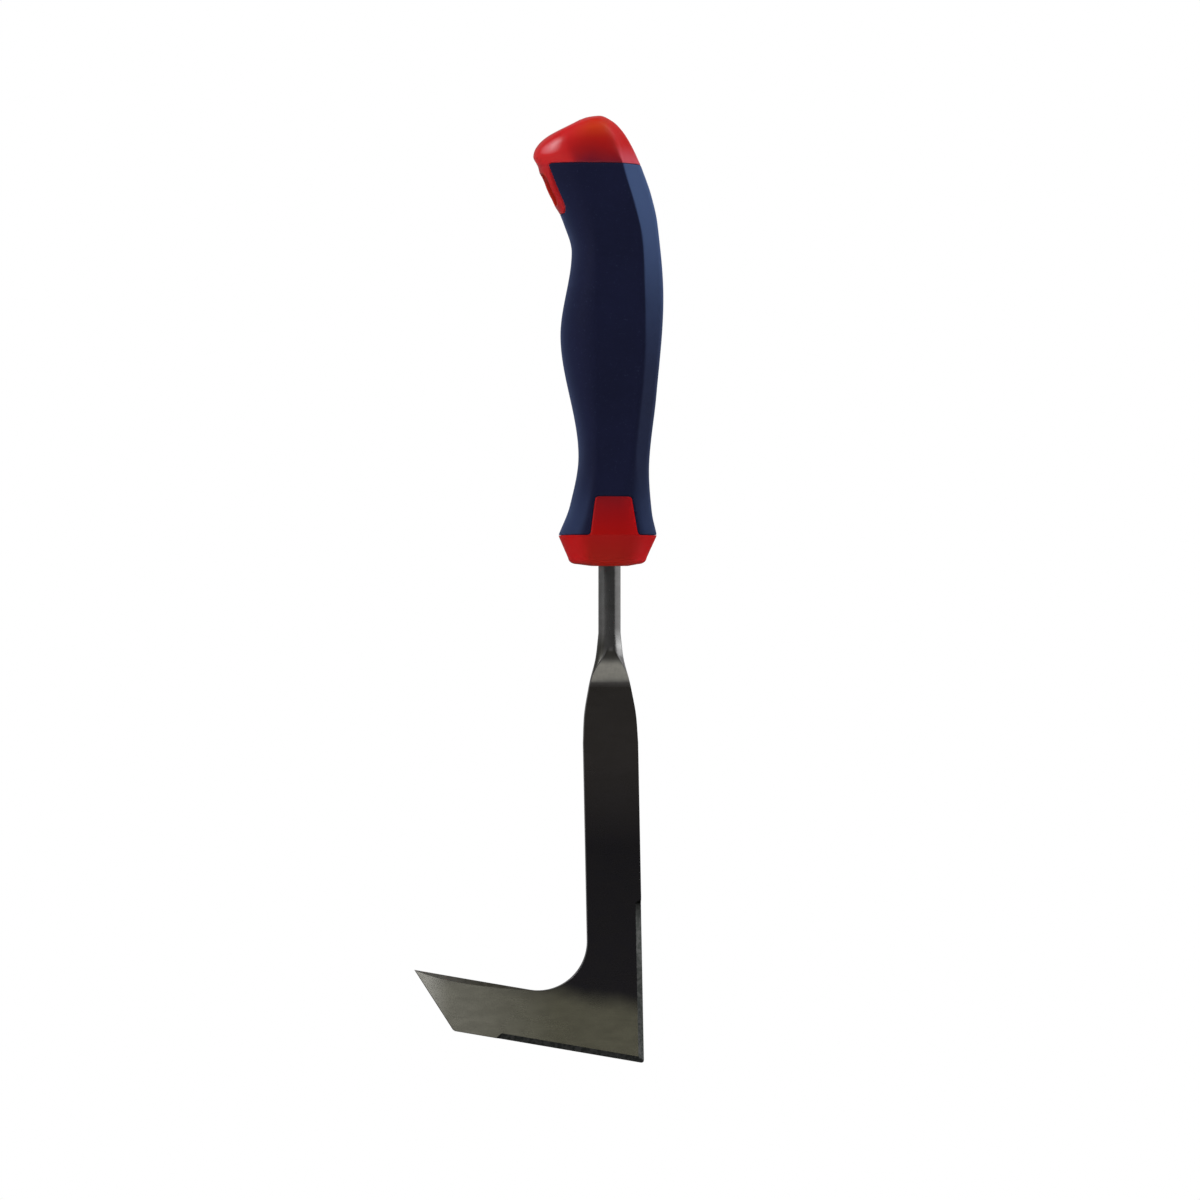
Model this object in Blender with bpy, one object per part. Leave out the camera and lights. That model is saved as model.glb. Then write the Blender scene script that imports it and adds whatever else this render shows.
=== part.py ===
"""Patio knife: an L-shaped weeding blade on a round shank, in a two-colour moulded handle.

Metres. +Z runs from the blade up to the butt of the handle, +X to the palm side and -Y to the front.
Heights start at the collar's underside, where the shank leaves the handle, and reaches at the shank's axis.
The empty that carries every piece then puts the middle of the hang slot at the world's origin.
"""

import math

import bmesh
import bpy
from mathutils import Matrix, Vector

mm = 0.001

# Fits
seam = 0.3 * mm                 # gap between two pieces that touch
overrun = 2.0 * mm              # how far a cutter passes the face that it opens

# Shank and tang
shank_radius = 3.65 * mm
shank_length = 22.0 * mm        # collar's underside to the top of the neck
tang_length = 88.0 * mm         # collar's underside to the tang's end
tang_point = 4.0 * mm           # length of the tang's tapered end
wing_height = 60.0 * mm         # middle of the swaged wings that lock the tang
wing_length = 12.0 * mm
wing_reach = 5.6 * mm
wing_half_depth = 2.5 * mm

# Neck, where the round shank is pressed flat
flare_length = 36.0 * mm
slope_start = 5.6 * mm          # top of the neck to the start of the sloping flat
slope_length = 10.6 * mm
neck_side_depth = 3.4 * mm      # half-depth of the neck's rounded sides at the slope's foot
neck_squareness = 6.0           # of the neck's section at its foot, where 2 is an ellipse

# Blade
blade_thickness = 2.8 * mm
stem_width = 18.0 * mm
stem_length = 103.5 * mm        # foot of the neck to the bottom edge, on the stem's middle
stem_lean = math.radians(1.13)  # to the palm side
hook_reach = 75.5 * mm          # heel to the hook's tip, straight across
hook_width = 17.35 * mm
hook_drop = math.radians(10.2)  # the hook's fall towards the heel
hook_end_slant = math.radians(56.3)
throat_radius = 16.0 * mm
heel_radius = 1.2 * mm

# Ground edges, the same front and back
ground_width = 1.8 * mm
ground_depth = 1.0 * mm
stem_ground_length = 54.0 * mm  # heel to the run-out on the stem's palm-side edge
hook_ground_length = 49.5 * mm  # heel to the run-out on the hook's bottom edge
top_ground_width = 1.4 * mm
run_out = 1.6 * mm

# Handle lengths, each counted from the place before it
rim_height = 10.0 * mm          # collar's underside to its widest place
neck_rise = 26.0 * mm           # rim to the slimmest place
belly_rise = 39.5 * mm
hollow_rise = 27.5 * mm         # belly to the hollow for the little finger
joint_rise = 28.3 * mm          # hollow to the joint of the end cap

# Handle reaches, to the finger side (-X), to the palm side (+X) and front and back
finger_rim = 16.75 * mm
finger_neck = 10.1 * mm
finger_belly = 16.1 * mm
finger_hollow = 12.35 * mm
finger_joint = 23.8 * mm
palm_rim = 15.2 * mm
palm_neck = 12.8 * mm
palm_swell = 17.4 * mm
palm_joint = 10.0 * mm
rim_half_depth = 13.4 * mm
neck_half_depth = 10.8 * mm
belly_half_depth = 12.8 * mm
joint_half_depth = 11.2 * mm

# The handle's flat front and back, between the round finger side and the chamfered palm side
chamfer_depth = 7.0 * mm
rim_flat = 8.2 * mm
grip_flat = 5.0 * mm            # the flat's reach to the finger side along the grip
swell_flat = 10.2 * mm          # and to the palm side at the swell

# End cap
cap_height = 16.4 * mm          # joint to the highest place of the butt
nose_overhang = 1.3 * mm        # how far the nose stands past the joint

# Hang slot, straight through from the finger side to the palm side, and the tongue round its mouth
slot_below_joint = 8.2 * mm     # joint to the slot's middle
slot_length = 10.2 * mm
slot_width = 8.4 * mm
slot_exit_width = 5.2 * mm      # where it leaves through the grip's palm side
tongue_rim = 2.4 * mm           # the tongue's rim at the slot's sides
tongue_foot = 2.8 * mm          # and below the slot
tongue_lift = 0.4 * mm          # how far the tongue's foot stands out of the grip

# Collar
collar_taper = 3.2 * mm         # how much each side draws in from the rim to the lower corner
corner_height = 2.6 * mm
corner_draw = 2.8 * mm
underside_fall = 0.6 * mm       # fall of the underside towards the shank
underside_eye = 6.0 * mm        # where that fall ends, round the shank
collar_floor = 3.2 * mm
tab_rise = 12.6 * mm            # rim to the top of the tabs
tab_top_half = 5.95 * mm
tab_foot_half = 7.9 * mm
tab_corner = 0.9 * mm

# Inside the handle
grip_wall = 3.0 * mm
plug_wall = 3.0 * mm            # the core's wall round the cap's plug
plug_length = 9.0 * mm

# Fineness of the mesh
round_steps = 24
arc_steps = 6
ring_step = 3.2 * mm

# Places that follow from the sizes
neck_height = rim_height + neck_rise
belly_height = neck_height + belly_rise
hollow_height = belly_height + hollow_rise
joint_height = hollow_height + joint_rise
tab_height = rim_height + tab_rise
slot_height = joint_height - slot_below_joint
spigot_foot = slot_height - slot_length / 2 - tongue_foot
plug_foot = spigot_foot - plug_length
neck_top = -shank_length
neck_foot = neck_top - flare_length
slope_top = neck_top - slope_start
slope_foot = slope_top - slope_length
stem_foot = neck_foot - stem_length
stem_half = stem_width / 2
handle_span = 4 * (finger_joint + palm_joint)


def between(first, last, share):
    return first + (last - first) * share


def smooth_line(*places):
    # A curve through (height, value) places that never swings past them.
    heights, values = zip(*places)
    spans = [high - low for low, high in zip(heights, heights[1:])]
    slopes = [(values[i + 1] - values[i]) / span for i, span in enumerate(spans)]
    tangents = [slopes[0]]
    for before, after in zip(slopes, slopes[1:]):
        tangents.append(2 * before * after / (before + after) if before * after > 0 else 0)
    tangents.append(slopes[-1])

    def value_at(height):
        if height > heights[-1]:
            return values[-1] + tangents[-1] * (height - heights[-1])
        i = max([k for k in range(len(spans)) if heights[k] <= height], default=0)
        t = (height - heights[i]) / spans[i]
        eased = between(values[i], values[i + 1], t * t * (3 - 2 * t))
        pull = tangents[i] * t * (1 - t) ** 2 + tangents[i + 1] * t * t * (t - 1)
        return eased + pull * spans[i]

    return value_at


finger_at = smooth_line(
    (rim_height, finger_rim),
    (rim_height + 0.38 * neck_rise, between(finger_neck, finger_rim, 0.42)),
    (neck_height, finger_neck),
    (belly_height, finger_belly),
    (hollow_height, finger_hollow),
    (hollow_height + 0.31 * joint_rise, between(finger_hollow, finger_joint, 0.22)),
    (hollow_height + 0.73 * joint_rise, between(finger_hollow, finger_joint, 0.70)),
    (joint_height, finger_joint),
)
palm_at = smooth_line(
    (rim_height, palm_rim),
    (rim_height + 0.3 * neck_rise, between(palm_neck, palm_rim, 0.34)),
    (rim_height + 0.8 * neck_rise, palm_neck),
    (neck_height + 0.5 * belly_rise, between(palm_neck, palm_swell, 0.51)),
    (belly_height + 0.45 * hollow_rise, palm_swell),
    (hollow_height + 0.31 * joint_rise, between(palm_joint, palm_swell, 0.75)),
    (hollow_height + 0.66 * joint_rise, between(palm_joint, palm_swell, 0.46)),
    (joint_height, palm_joint),
)
half_depth_at = smooth_line(
    (rim_height, rim_half_depth),
    (rim_height + 0.45 * neck_rise, between(neck_half_depth, rim_half_depth, 0.4)),
    (neck_height, neck_half_depth),
    (belly_height, belly_half_depth),
    (joint_height, joint_half_depth),
)
finger_flat_at = smooth_line(
    (rim_height, rim_flat),
    (rim_height + 0.5 * neck_rise, between(grip_flat, rim_flat, 0.3)),
    (neck_height, grip_flat),
    (hollow_height, grip_flat),
    (joint_height, finger_joint - 2 * grip_flat),
)
palm_flat_at = smooth_line(
    (rim_height, rim_flat),
    (rim_height + 0.5 * neck_rise, palm_neck - 0.9 * chamfer_depth),
    (belly_height, swell_flat),
    (hollow_height, between(palm_joint, palm_swell, 0.9) - chamfer_depth),
    (joint_height, palm_joint - chamfer_depth),
)

slot_middle = Vector(((palm_at(slot_height) - finger_at(slot_height)) / 2, 0, slot_height))

for old in list(bpy.data.objects):
    bpy.data.objects.remove(old)
parts = bpy.data.collections.new("patio_knife")
cutters = bpy.data.collections.new("cutters")
bpy.context.scene.collection.children.link(parts)
bpy.context.scene.collection.children.link(cutters)
hang_point = bpy.data.objects.new("hang_point", None)
hang_point.location = -slot_middle
parts.objects.link(hang_point)


def material(name, colour, roughness, metallic=0.0):
    made = bpy.data.materials.new(name)
    made.use_nodes = True
    surface = made.node_tree.nodes["Principled BSDF"]
    surface.inputs["Base Color"].default_value = (*colour, 1)
    surface.inputs["Roughness"].default_value = roughness
    surface.inputs["Metallic"].default_value = metallic
    return made


def cutter_from(name, shape):
    # Turns a bmesh into an object that only cuts, until it is made a part.
    bmesh.ops.recalc_face_normals(shape, faces=shape.faces[:])
    mesh = bpy.data.meshes.new(name)
    shape.to_mesh(mesh)
    shape.free()
    made = bpy.data.objects.new(name, mesh)
    made.parent = hang_point
    made.hide_render = True
    made.display_type = "WIRE"
    cutters.objects.link(made)
    return made


def make_part(made, look):
    cutters.objects.unlink(made)
    parts.objects.link(made)
    made.hide_render = False
    made.display_type = "TEXTURED"
    made.data.materials.append(look)
    made.data.shade_smooth()
    made.data.set_sharp_from_angle(angle=math.radians(25))


def boolean(made, operation, *others):
    for other in others:
        step = made.modifiers.new(f"{operation.lower()} {other.name}", "BOOLEAN")
        step.operation = operation
        step.object = other


def loft(name, rings, tip=None):
    # Skins closed rings of points, ending flat or on a tip.
    shape = bmesh.new()
    rows = [[shape.verts.new(place) for place in ring] for ring in rings]
    turned = [row[1:] + row[:1] for row in rows]
    for i in range(len(rows) - 1):
        for corners in zip(rows[i], turned[i], turned[i + 1], rows[i + 1]):
            shape.faces.new(corners)
    shape.faces.new(rows[0])
    if tip is None:
        shape.faces.new(rows[-1])
    else:
        last = shape.verts.new(tip)
        for corners in zip(rows[-1], turned[-1]):
            shape.faces.new((*corners, last))
    return cutter_from(name, shape)


def prism(name, outline, reach, across, rounded=(), corner=0.0):
    # A flat outline pushed out both ways along X or Y, with the listed corners rounded.
    def place(u, height, side):
        return (side * reach, u, height) if across == "X" else (u, side * reach, height)

    rings = [[place(u, height, side) for u, height in outline] for side in (-1, 1)]
    shape = bmesh.new()
    rows = [[shape.verts.new(point) for point in ring] for ring in rings]
    for row in rows:
        shape.faces.new(row)
    sides = []
    for i in range(len(outline)):
        j = (i + 1) % len(outline)
        sides.append(shape.faces.new((rows[0][i], rows[0][j], rows[1][j], rows[1][i])))
    edges = [shape.edges.get((rows[0][i], rows[1][i])) for i in rounded]
    if edges:
        bmesh.ops.bevel(
            shape, geom=edges, offset=corner, segments=arc_steps, profile=0.5, affect="EDGES"
        )
    return cutter_from(name, shape)


def block(name, size, middle):
    shape = bmesh.new()
    bmesh.ops.create_cube(shape, size=1, matrix=Matrix.Diagonal((*size, 1)))
    made = cutter_from(name, shape)
    made.location = middle
    return made


def handle_ring(finger, palm, half_depth, flat_start, flat_end, grow=0.0):
    # One section between its finger-side and palm-side places, which lie in the middle plane.
    # The flat's start and end are counted from the finger-side place.
    across = (palm - finger).normalized()
    low, high = -grow, (palm - finger).length + grow
    deep = half_depth + grow
    chamfer = chamfer_depth * min(1, half_depth / joint_half_depth)
    start = max(flat_start, low + 0.3 * deep)
    end = min(flat_end + 0.4 * grow, high - 0.2 * chamfer)
    side = max(deep - chamfer - 0.6 * grow, 0.25 * deep)
    places = []
    for step in range(-arc_steps, arc_steps + 1):
        angle = math.pi / 2 * step / arc_steps
        places.append((start - (start - low) * math.cos(angle), deep * math.sin(angle)))
    places += [(end, deep), (high, side), (high, -side), (end, -deep)]
    return [finger + across * along + Vector((0, depth, 0)) for along, depth in places]


def drawn_in(height):
    # How far the collar's sides have come in from the rim at a height.
    if height >= rim_height:
        return 0.0
    taper = min((rim_height - height) / (rim_height - corner_height), 1)
    turn = max(corner_height - height, 0) / (corner_height - underside_fall)
    return collar_taper * taper + corner_draw * (1 - math.sqrt(max(1 - turn ** 2, 0)))


def level_ring(height, grow=0.0):
    at = max(height, rim_height)
    draw = drawn_in(height)
    finger_reach = finger_at(at) - draw
    finger = Vector((-finger_reach, 0, height))
    palm = Vector((palm_at(at) - draw, 0, height))
    flat_start = finger_reach - finger_flat_at(at) + draw / 2
    flat_end = finger_reach + palm_flat_at(at) - draw / 2
    return handle_ring(finger, palm, half_depth_at(at) - draw, flat_start, flat_end, grow)


def levels(low, high):
    # Heights of the rings from low to high, with one at each of the handle's main places.
    marks = [low, *(mark for mark in (rim_height, neck_height, hollow_height) if low < mark < high), high]
    found = [low]
    for start, stop in zip(marks, marks[1:]):
        steps = max(1, round((stop - start) / ring_step))
        found += [between(start, stop, i / steps) for i in range(1, steps + 1)]
    return found


def handle_body(name, low, high, grow=0.0):
    return loft(name, [level_ring(height, grow) for height in levels(low, high)])


def butt_body(name, low):
    # The handle's upper end: level rings, then rings that fan over to the slanting butt.
    # Below the joint it stands out of the grip more and more, down to the tongue's foot.
    rings = []
    for height in levels(low, joint_height):
        share = (joint_height - height) / (joint_height - spigot_foot)
        rings.append(level_ring(height, tongue_lift * share))
    width = finger_joint + palm_joint
    start = (finger_joint - finger_flat_at(joint_height)) / width
    end = (finger_joint + palm_flat_at(joint_height)) / width
    nose = nose_overhang
    # The finger side's and the palm side's next place as (across, up), and the share of the depth.
    fan = (
        ((-nose, 0.157), (-0.085, 0.37), 0.99),
        ((-0.75 * nose, 0.263), (-0.175, 0.67), 0.95),
        ((0.19 * nose, 0.394), (-0.275, 0.874), 0.85),
        ((2.2 * nose, 0.544), (-0.395, 0.985), 0.66),
        ((4.7 * nose, 0.661), (-0.505, 0.961), 0.43),
        ((6.9 * nose, 0.743), (-0.585, 0.908), 0.21),
    )
    for (finger_out, finger_up), (palm_in, palm_up), share in fan:
        finger = Vector((-finger_joint + finger_out, 0, joint_height + finger_up * cap_height))
        palm = Vector((palm_joint + palm_in * width, 0, joint_height + palm_up * cap_height))
        size = (palm - finger).length
        rings.append(handle_ring(finger, palm, share * joint_half_depth, start * size, end * size))
    return loft(name, rings, (finger + palm) / 2)


def slot_prism(name, low, high, half_width, corner):
    # A rounded prism from the finger side to the palm side, between two heights.
    outline = [(-half_width, low), (half_width, low), (half_width, high), (-half_width, high)]
    return prism(name, outline, handle_span / 2, "X", range(4), corner)


def tongue_prism(name, grow):
    # From the slot's middle to the finger side only.
    half_width = slot_width / 2 + tongue_rim + grow
    made = slot_prism(name, spigot_foot - grow, joint_height + half_width, half_width, half_width / 2)
    made.location = (slot_middle.x - handle_span / 2, 0, 0)
    return made


def tab_prism(name, grow):
    # The outline of the collar's two tabs, from front to back through the handle.
    foot, top = rim_height - overrun, tab_height + grow
    foot_half, top_half = tab_foot_half + grow, tab_top_half + grow
    outline = [
        (-foot_half, foot), (foot_half, foot), (foot_half, rim_height),
        (top_half, top), (-top_half, top), (-foot_half, rim_height),
    ]
    return prism(name, outline, 2 * rim_half_depth, "Y", (3, 4), tab_corner + grow)


def steel_ring(height, half_width, half_depth, squareness=2.0, middle=0.0):
    # An ellipse that turns into a rectangle as squareness grows.
    ring = []
    for i in range(round_steps):
        angle = 2 * math.pi * i / round_steps
        u, v = math.cos(angle), math.sin(angle)
        x = half_width * math.copysign(abs(u) ** (2 / squareness), u)
        y = half_depth * math.copysign(abs(v) ** (2 / squareness), v)
        ring.append(Vector((middle + x, y, height)))
    return ring


def tang_rings(grow=0.0):
    # Round, swaged into two wings, round again, then tapered.
    low, high = wing_height - wing_length / 2, wing_height + wing_length / 2
    radius = shank_radius + grow
    wing = (wing_reach + grow, wing_half_depth + grow)
    end = tang_length + grow
    return [
        steel_ring(low, radius, radius),
        steel_ring(between(low, high, 0.3), *wing),
        steel_ring(between(low, high, 0.7), *wing),
        steel_ring(high, radius, radius),
        steel_ring(end - tang_point, radius, radius),
        steel_ring(end, radius / 2, radius / 2),
    ]


def leaning(height):
    # How far the blade's middle line has moved to the palm side at a height.
    below = max(neck_top - height, 0)
    if below < flare_length:
        return math.tan(stem_lean) * below ** 2 / (2 * flare_length)
    return math.tan(stem_lean) * (below - flare_length / 2)


def neck_rings(low):
    half_width_at = smooth_line(
        (neck_foot, stem_half),
        (neck_foot + 0.22 * flare_length, between(stem_half, shank_radius, 0.08)),
        (neck_foot + 0.50 * flare_length, between(stem_half, shank_radius, 0.39)),
        (neck_foot + 0.79 * flare_length, between(stem_half, shank_radius, 0.84)),
        (neck_top, shank_radius),
    )
    half_depth_at = smooth_line(
        (neck_foot, neck_side_depth), (slope_foot, neck_side_depth),
        (slope_top, shank_radius), (neck_top, shank_radius),
    )
    squareness_at = smooth_line((neck_foot, neck_squareness), (slope_foot, 2.0), (neck_top, 2.0))
    rings = [steel_ring(low, stem_half - seam, neck_side_depth, neck_squareness, leaning(low))]
    steps = 16
    for i in range(steps + 1):
        height = between(neck_foot, neck_top, i / steps)
        rings.append(
            steel_ring(
                height, half_width_at(height), half_depth_at(height),
                squareness_at(height), leaning(height),
            )
        )
    return rings


def fillet(before, corner, after, radius, steps):
    # The points of an arc that rounds a corner of an outline.
    to_before, to_after = (before - corner).normalized(), (after - corner).normalized()
    half_angle = to_before.angle(to_after) / 2
    centre = corner + (to_before + to_after).normalized() * radius / math.sin(half_angle)
    start = corner + to_before * radius / math.tan(half_angle) - centre
    stop = corner + to_after * radius / math.tan(half_angle) - centre
    first = math.atan2(start.y, start.x)
    turn = math.remainder(math.atan2(stop.y, stop.x) - first, 2 * math.pi)
    angles = [first + turn * i / steps for i in range(steps + 1)]
    return [centre + radius * Vector((math.cos(angle), math.sin(angle))) for angle in angles]


# The blade's corners, seen from the front as (across, height)
hook_fall = math.tan(hook_drop)
heel = Vector((leaning(stem_foot) + stem_half, stem_foot - stem_half * hook_fall))


def hook_edge(across, rise):
    # A place on the hook's bottom edge, or on the line that lies rise above it.
    return Vector((across, heel.y + (heel.x - across) * hook_fall + rise / math.cos(hook_drop)))


tip = hook_edge(heel.x - hook_reach, hook_width)
hook_end = tip + Vector((math.cos(hook_end_slant), -math.sin(hook_end_slant))) * (
    hook_width / math.sin(hook_end_slant - hook_drop)
)
stem_cut = neck_foot - overrun
stem_palm = Vector((leaning(stem_cut) + stem_half, stem_cut))
stem_finger = stem_palm - Vector((stem_width, 0))
throat = hook_edge(leaning(stem_foot + hook_width) - stem_half, hook_width)
throat_arc = fillet(stem_finger, throat, tip, throat_radius, 10)
heel_arc = fillet(hook_end, heel, stem_palm, heel_radius, 3)


def ground_edge(name, stations, slope, side):
    # A cutter for an edge ground at a slope on one side (-1 front, 1 back) of the blade.
    # Each station is a place on the edge, the way inwards from it, and the ground width there.
    face = side * blade_thickness / 2
    reach = 2 * ground_width
    rings = []
    for edge, inwards, width in stations:
        inner = edge + inwards * (width + reach)
        outer = edge - inwards * reach
        rings.append([
            Vector((inner.x, face + side * slope * reach, inner.y)),
            Vector((outer.x, face - side * slope * (width + reach), outer.y)),
            Vector((outer.x, face + side * 2 * reach, outer.y)),
            Vector((inner.x, face + side * 2 * reach, inner.y)),
        ])
    return loft(name, rings)


def straight_stations(length, far, corner):
    # Ground from a run-out at a length from the corner, at full width past the corner.
    along = (corner - far).normalized()
    inwards = Vector((-along.y, along.x))
    if inwards.dot(throat - corner) < 0:
        inwards.negate()
    start = corner - along * length
    return [
        (start - along * run_out, inwards, -run_out / 2),
        (start, inwards, 0.0),
        (start + along * run_out, inwards, ground_width),
        (corner + along * overrun, inwards, ground_width),
    ]


def top_stations():
    # From the tip along the hook's top edge, fading out at the throat.
    run = throat_arc[-1] - tip
    along = run.normalized()
    inwards = Vector((along.y, -along.x))
    shares = [(0.0, 0.0), (0.3, 1.0), (0.6, 0.85), (1.0, -0.1)]
    stations = [(tip - along * overrun, inwards, -0.1 * top_ground_width)]
    for far, share in shares:
        stations.append((tip + run * far, inwards, share * top_ground_width))
    return stations


def build_blade(look):
    # One forging: the tang, the round shank, the pressed neck and the flat L-shaped blade.
    flat = blade_thickness / 2
    outline = [stem_palm, stem_finger, *throat_arc, tip, hook_end, *heel_arc]
    hook = prism("hook", [(place.x, place.y) for place in outline], 2 * blade_thickness, "Y")
    # The pressing that flattens the blade, seen from the side.
    wide = 2 * shank_radius
    wide_height = slope_foot + (wide - flat) * slope_length / (shank_radius - flat)
    low, high = heel.y - overrun, tang_length + overrun
    profile = [
        (-flat, low), (flat, low), (flat, slope_foot), (wide, wide_height),
        (wide, high), (-wide, high), (-wide, wide_height), (-flat, slope_foot),
    ]
    pressing = prism("pressing", profile, 2 * hook_reach, "X")
    blade = loft("blade", neck_rings(stem_cut - stem_half) + tang_rings())
    boolean(blade, "UNION", hook)
    boolean(blade, "INTERSECT", pressing)
    edges = {
        "stem_edge": straight_stations(stem_ground_length, stem_palm, heel),
        "bottom_edge": straight_stations(hook_ground_length, hook_end, heel),
        "top_edge": top_stations(),
    }
    for name, stations in edges.items():
        for side in (-1, 1):
            cutter = ground_edge(f"{name}_{side}", stations, ground_depth / ground_width, side)
            boolean(blade, "DIFFERENCE", cutter)
    make_part(blade, look)


def tang_room():
    # The tang with a seam all round, open below the collar.
    radius = shank_radius + seam
    return loft("tang_room", [steel_ring(-overrun, radius, radius), *tang_rings(seam)])


def build_core(look, tang):
    # The hard core round the tang, with a pocket for the cap's plug.
    core = handle_body("handle_core", collar_floor + seam, spigot_foot - seam, -grip_wall - seam)
    pocket = handle_body("plug_room", plug_foot - seam, joint_height, -grip_wall - seam - plug_wall)
    boolean(core, "DIFFERENCE", pocket, tang)
    make_part(core, look)


def build_collar(look, tang):
    # A cup at the handle's foot, with a tab up the front and one up the back.
    turns = [math.sin(math.pi / 2 * i / 3) for i in (3, 2, 1)]
    corners = [between(corner_height, underside_fall, turn) for turn in turns]
    eye = handle_ring(
        Vector((-underside_eye, 0, 0)), Vector((underside_eye, 0, 0)), underside_eye,
        0.5 * underside_eye, 1.5 * underside_eye,
    )
    rings = [level_ring(height) for height in corners + levels(corner_height, tab_height + overrun)]
    collar = loft("collar", [eye, *rings])
    over = block(
        "over_collar", (handle_span, handle_span, 2 * tab_height),
        Vector((0, 0, rim_height + tab_height)),
    )
    boolean(over, "DIFFERENCE", tab_prism("tabs", 0.0))
    socket = handle_body("collar_socket", collar_floor, tab_height + 2 * overrun, -grip_wall)
    boolean(collar, "DIFFERENCE", over, socket, tang)
    make_part(collar, look)


def build_grip(look, way_out):
    # The soft sleeve, with windows for the collar's tabs and the cap's tongue, and the slot's way out.
    grip = handle_body("grip_sleeve", rim_height + seam, joint_height)
    bore = handle_body("grip_bore", rim_height - overrun, joint_height + overrun, -grip_wall)
    windows = (tab_prism("tab_windows", seam), tongue_prism("tongue_window", seam))
    boolean(grip, "DIFFERENCE", bore, *windows, way_out)
    make_part(grip, look)


def build_cap(look, slot):
    # The butt, its spigot in the grip, its plug in the core, and the tongue round the hang slot.
    cap = butt_body("end_cap", belly_height)
    top = joint_height + overrun
    spigot = handle_body("spigot", spigot_foot, top, -grip_wall - seam)
    plug = handle_body("plug", plug_foot, top, -grip_wall - 2 * seam - plug_wall)
    room_top = joint_height + seam
    room = block(
        "under_cap", (handle_span, handle_span, room_top), Vector((0, 0, room_top / 2))
    )
    boolean(room, "DIFFERENCE", tongue_prism("tongue", 0.0), spigot, plug)
    boolean(cap, "DIFFERENCE", room, slot)
    make_part(cap, look)


steel = material("stainless_steel", (0.33, 0.32, 0.30), 0.35, 1.0)
hard_red = material("hard_red_plastic", (0.60, 0.02, 0.02), 0.35)
gloss_red = material("gloss_red_plastic", (0.72, 0.02, 0.02), 0.15)
soft_navy = material("soft_navy_rubber", (0.02, 0.03, 0.11), 0.55)

tang_space = tang_room()
slot_low, slot_high = slot_height - slot_length / 2, slot_height + slot_length / 2
slot_corner = 0.3 * slot_width
exit_corner = min(slot_corner, 0.49 * slot_exit_width)
hang_slot = slot_prism("hang_slot", slot_low, slot_high, slot_width / 2, slot_corner)
palm_exit = slot_prism("palm_exit", slot_low, slot_high, slot_exit_width / 2, exit_corner)
build_blade(steel)
build_core(hard_red, tang_space)
build_collar(hard_red, tang_space)
build_grip(soft_navy, palm_exit)
build_cap(gloss_red, hang_slot)
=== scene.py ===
import math

import bmesh
import bpy
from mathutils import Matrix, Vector


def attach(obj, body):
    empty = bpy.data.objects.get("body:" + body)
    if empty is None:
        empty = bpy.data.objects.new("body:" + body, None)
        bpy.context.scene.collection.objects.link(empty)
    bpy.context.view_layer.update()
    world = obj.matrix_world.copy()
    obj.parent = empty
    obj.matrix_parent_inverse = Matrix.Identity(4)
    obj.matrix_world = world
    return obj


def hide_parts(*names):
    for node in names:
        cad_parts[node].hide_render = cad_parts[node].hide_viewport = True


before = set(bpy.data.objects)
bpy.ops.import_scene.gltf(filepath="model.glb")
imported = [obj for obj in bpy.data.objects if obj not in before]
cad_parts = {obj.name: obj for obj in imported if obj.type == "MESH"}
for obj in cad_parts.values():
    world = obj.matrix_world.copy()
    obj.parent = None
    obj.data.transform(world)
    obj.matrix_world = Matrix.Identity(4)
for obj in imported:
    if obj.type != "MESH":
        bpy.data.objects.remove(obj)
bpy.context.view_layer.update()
mm = 0.001
farReach = 67.7                # helper bodies that cut run this far, clear of the handle
past = 2                       # and this far past the end of what they cut
coarse = 2.0                   # the step between their sections
print("frame loaded:", sorted(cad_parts))

# Shapes are in millimetres: heights from the collar's underside, reaches from the shank's axis
handleForm = {
    "fingerSide": [(10, 16.75), (19.88, 12.893), (36, 10.1), (75.5, 16.1), (103, 12.35),
                   (111.773, 14.869), (123.659, 20.365), (131.3, 23.8)],
    "palmSide": [(10, 15.2), (17.8, 13.616), (30.8, 12.8), (55.75, 15.146), (87.875, 17.4),
                 (111.773, 15.55), (121.678, 13.404), (131.3, 10)],
    "halfDepth": [(10, 13.4), (21.7, 11.84), (36, 10.8), (75.5, 12.8), (131.3, 11.2)],
    "fingerFlat": [(10, 8.2), (23, 5.96), (36, 5), (103, 5), (131.3, 11)],
    "palmFlat": [(10, 8.2), (23, 6.5), (75.5, 10.2), (103, 9.66), (131.3, 3)],
    "rim": 10.0,
    "joint": 131.3,
    "slotDrop": 8.2,           # from the joint with the cap to the slot's middle
    "chamferDepth": 7.0,
    "chamferFrom": 11.2,       # the half depth from which the chamfers have all of it
    "frontCorner": 0.9,        # how far the chamfer's front line is rounded, each way
    "palmCorner": 2.6,         # and its palm-side line
    "footEase": 9.0,           # how many times rounder both are at the rim
    "easeTop": 38.0,           # where that ends
    "arcSteps": 44,
    "levelStep": 0.8,
}


def between(first, last, share):
    return first + (last - first) * share


def smoothLine(places):
    # a curve through (height, value) places that never swings past them
    heights, values = zip(*places)
    spans = [high - low for low, high in zip(heights, heights[1:])]
    slopes = [(values[i + 1] - values[i]) / span for i, span in enumerate(spans)]
    tangents = [slopes[0]]
    for before, after in zip(slopes, slopes[1:]):
        tangents.append(2 * before * after / (before + after) if before * after > 0 else 0)
    tangents.append(slopes[-1])

    def valueAt(height):
        if height > heights[-1]:
            return values[-1] + tangents[-1] * (height - heights[-1])
        i = max([k for k in range(len(spans)) if heights[k] <= height], default=0)
        t = (height - heights[i]) / spans[i]
        eased = between(values[i], values[i + 1], t * t * (3 - 2 * t))
        pull = tangents[i] * t * (1 - t) ** 2 + tangents[i + 1] * t * t * (t - 1)
        return eased + pull * spans[i]

    return valueAt


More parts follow.
